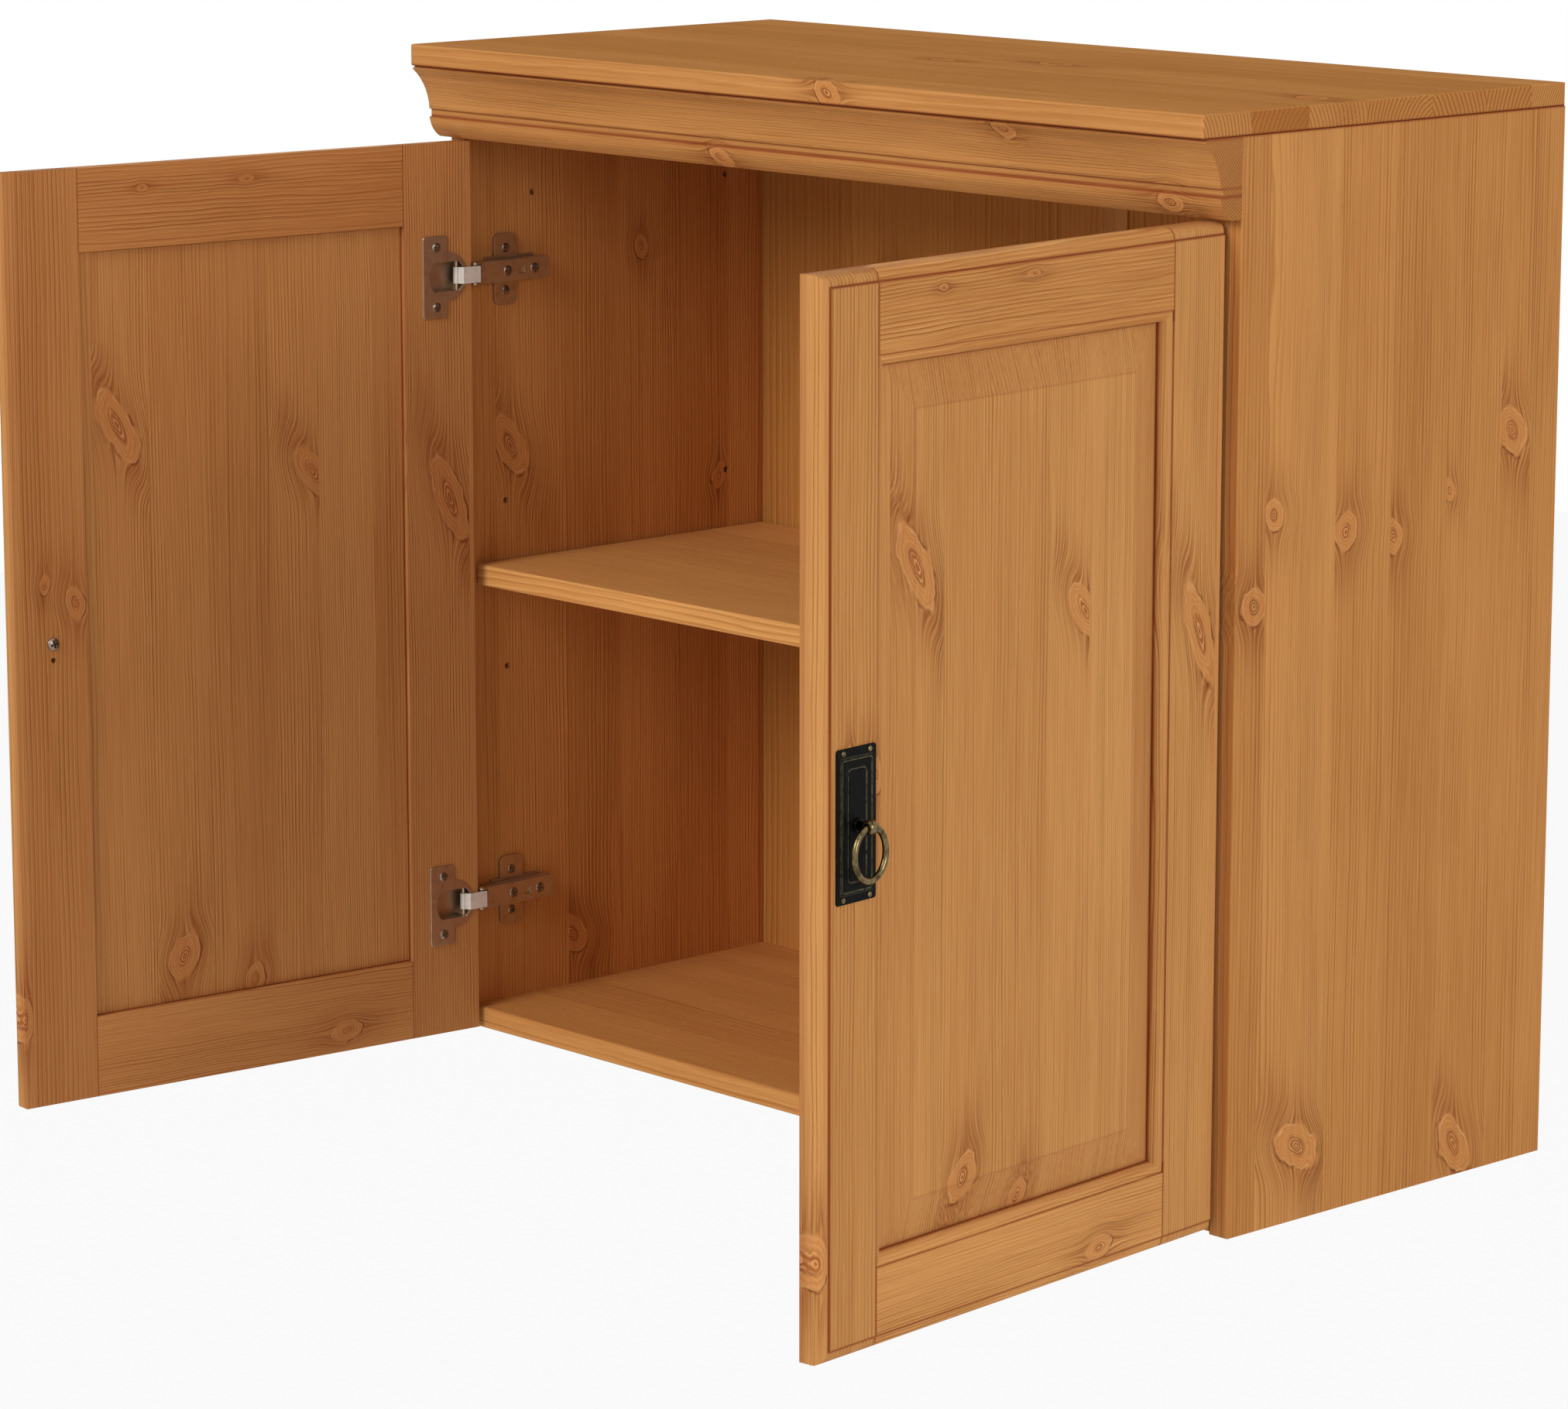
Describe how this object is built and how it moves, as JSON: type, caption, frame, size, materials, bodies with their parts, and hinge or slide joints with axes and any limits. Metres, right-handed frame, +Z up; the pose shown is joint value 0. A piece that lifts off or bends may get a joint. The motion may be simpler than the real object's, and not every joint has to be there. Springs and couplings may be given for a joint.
{
  "type": "wall cabinet",
  "caption": "Stained solid pine wall cabinet with moulded cornice, shelf, frame and raised-panel doors on concealed cup hinges, and ring pulls on black back plates.",
  "frame": {"origin": "middle of the two wall-fixing holes, on the back face of the hanging rail", "axes": "+X to the cabinet's right seen from the front, +Y into the wall, +Z up"},
  "size_m": [0.8824, 0.7273, 0.756],
  "materials": {
    "stained_pine": "honey stain under satin varnish",
    "back_board": "varnished thin board",
    "dowel_wood": "raw beech",
    "nickel_steel": "nickel plated",
    "zinc_steel": "zinc plated",
    "black_iron": "black, rubbed to bronze on the raised lines",
    "old_brass": "antique brass"
  },
  "bodies": {
    "carcass": {"back_joint_strip": "back_board", "back_panel_left": "back_board", "back_panel_nails": "zinc_steel", "back_panel_right": "back_board", "bottom_panel": "stained_pine", "carcass_dowels": "dowel_wood", "cornice_moulding": "stained_pine", "hanging_rail": "stained_pine", "left_hinge_arm_pins": "nickel_steel", "left_hinge_arm_screws": "nickel_steel", "left_hinge_mount_screws": "nickel_steel", "left_lower_hinge_arm": "nickel_steel", "left_lower_hinge_mount": "nickel_steel", "left_side_panel": "stained_pine", "left_upper_hinge_arm": "nickel_steel", "left_upper_hinge_mount": "nickel_steel", "right_hinge_arm_pins": "nickel_steel", "right_hinge_arm_screws": "nickel_steel", "right_hinge_mount_screws": "nickel_steel", "right_lower_hinge_arm": "nickel_steel", "right_lower_hinge_mount": "nickel_steel", "right_side_panel": "stained_pine", "right_upper_hinge_arm": "nickel_steel", "right_upper_hinge_mount": "nickel_steel", "shelf": "stained_pine", "shelf_pins": "zinc_steel", "top_board": "stained_pine"},
    "left_door": {"left_door_bottom_rail": "stained_pine", "left_door_free_stile": "stained_pine", "left_door_hinge_stile": "stained_pine", "left_door_panel": "stained_pine", "left_door_top_rail": "stained_pine", "left_handle_plate": "black_iron", "left_handle_post": "old_brass", "left_handle_rivets": "old_brass", "left_handle_screw": "zinc_steel", "left_hinge_cup_pins": "nickel_steel", "left_hinge_cup_screws": "nickel_steel", "left_lower_hinge_cup": "nickel_steel", "left_upper_hinge_cup": "nickel_steel"},
    "left_ring": {"left_handle_ring": "old_brass"},
    "left_links": {"left_lower_hinge_link": "nickel_steel", "left_upper_hinge_link": "nickel_steel"},
    "right_door": {"right_door_bottom_rail": "stained_pine", "right_door_free_stile": "stained_pine", "right_door_hinge_stile": "stained_pine", "right_door_panel": "stained_pine", "right_door_top_rail": "stained_pine", "right_handle_plate": "black_iron", "right_handle_post": "old_brass", "right_handle_rivets": "old_brass", "right_handle_screw": "zinc_steel", "right_hinge_cup_pins": "nickel_steel", "right_hinge_cup_screws": "nickel_steel", "right_lower_hinge_cup": "nickel_steel", "right_upper_hinge_cup": "nickel_steel"},
    "right_ring": {"right_handle_ring": "old_brass"},
    "right_links": {"right_lower_hinge_link": "nickel_steel", "right_upper_hinge_link": "nickel_steel"}
  },
  "joints": [
    {"name": "left_link_swing", "type": "hinge", "parent": "carcass", "child": "left_links", "pos_m": [-0.37291, -0.32635, -0.366], "axis": [0, 0, 1], "range_deg": [-59.36, 0]},
    {"name": "left_door_swing", "type": "hinge", "parent": "left_links", "child": "left_door", "pos_m": [-0.37574, -0.34221, -0.366], "axis": [0, 0, 1], "range_deg": [0, 154.87]},
    {"name": "left_ring_swing", "type": "hinge", "parent": "left_door", "child": "left_ring", "pos_m": [-0.43637, -0.69332, -0.366], "axis": [0.0958, 0.9954, 0], "range_deg": [-13, 190]},
    {"name": "right_link_swing", "type": "hinge", "parent": "carcass", "child": "right_links", "pos_m": [0.37291, -0.32635, -0.366], "axis": [0, 0, -1], "range_deg": [-59.36, 0]},
    {"name": "right_door_swing", "type": "hinge", "parent": "right_links", "child": "right_door", "pos_m": [0.37574, -0.34221, -0.366], "axis": [0, 0, -1], "range_deg": [0, 154.87]},
    {"name": "right_ring_swing", "type": "hinge", "parent": "right_door", "child": "right_ring", "pos_m": [0.43637, -0.69332, -0.366], "axis": [0.0958, -0.9954, 0], "range_deg": [-13, 190]}
  ],
  "couplings": [
    {"joint": "left_door_swing", "follows": "left_link_swing", "ratio": -2.6088},
    {"joint": "right_door_swing", "follows": "right_link_swing", "ratio": -2.6088}
  ]
}
